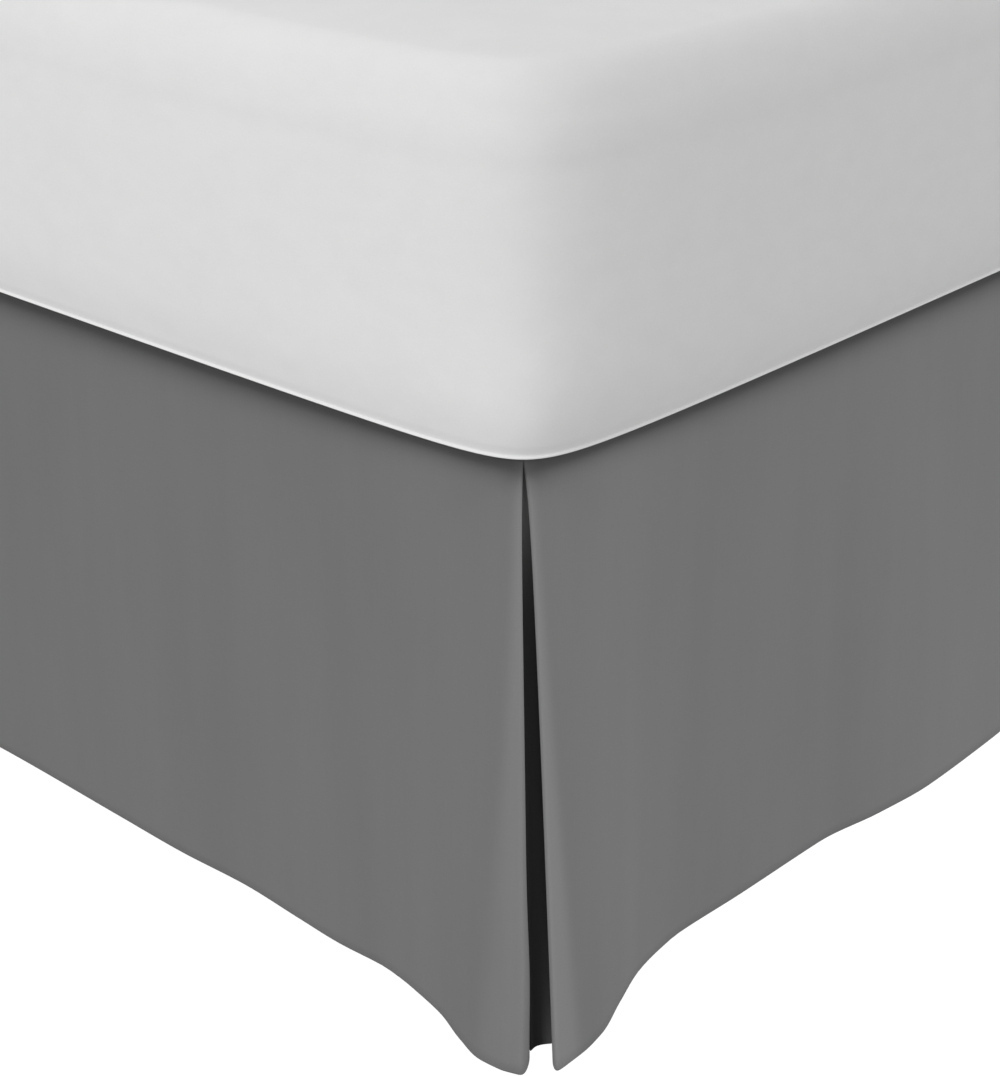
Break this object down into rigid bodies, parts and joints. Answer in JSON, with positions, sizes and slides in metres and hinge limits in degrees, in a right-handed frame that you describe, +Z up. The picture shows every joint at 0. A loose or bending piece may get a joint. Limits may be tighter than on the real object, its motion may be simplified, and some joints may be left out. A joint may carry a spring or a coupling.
{
  "type": "bed skirt on a mattress and bed base",
  "caption": "Tailored bed skirt: a deck cloth under the mattress with flat hanging drops that hide the base and legs, inverted pleats at the foot corners, and an open head end.",
  "frame": {"origin": "on the floor, at the middle of the bounding box", "axes": "+Z up, +Y along the bed from the pleated foot towards the open head, +X across the bed"},
  "size_m": [1.5728, 2.0544, 0.559],
  "materials": {
    "skirt_cloth": "plain brushed microfibre cloth, mid grey, matt",
    "underlay_cloth": "the same cloth in the pleat's shade, dark grey, matt",
    "mattress_cover": "smooth white fitted cover, matt",
    "base_cloth": "plain off-white base cloth, matt",
    "leg_wood": "dark stained wood, satin"
  },
  "bodies": {
    "root": {"mattress": "mattress_cover", "skirt_deck": "skirt_cloth", "drop_foot": "skirt_cloth", "drop_right": "skirt_cloth", "drop_left": "skirt_cloth", "pleat_underlay_right": "underlay_cloth", "pleat_underlay_left": "underlay_cloth", "bed_base": "base_cloth", "leg_1": "leg_wood", "leg_2": "leg_wood", "leg_3": "leg_wood", "leg_4": "leg_wood", "leg_5": "leg_wood", "leg_6": "leg_wood"}
  },
  "joints": []
}
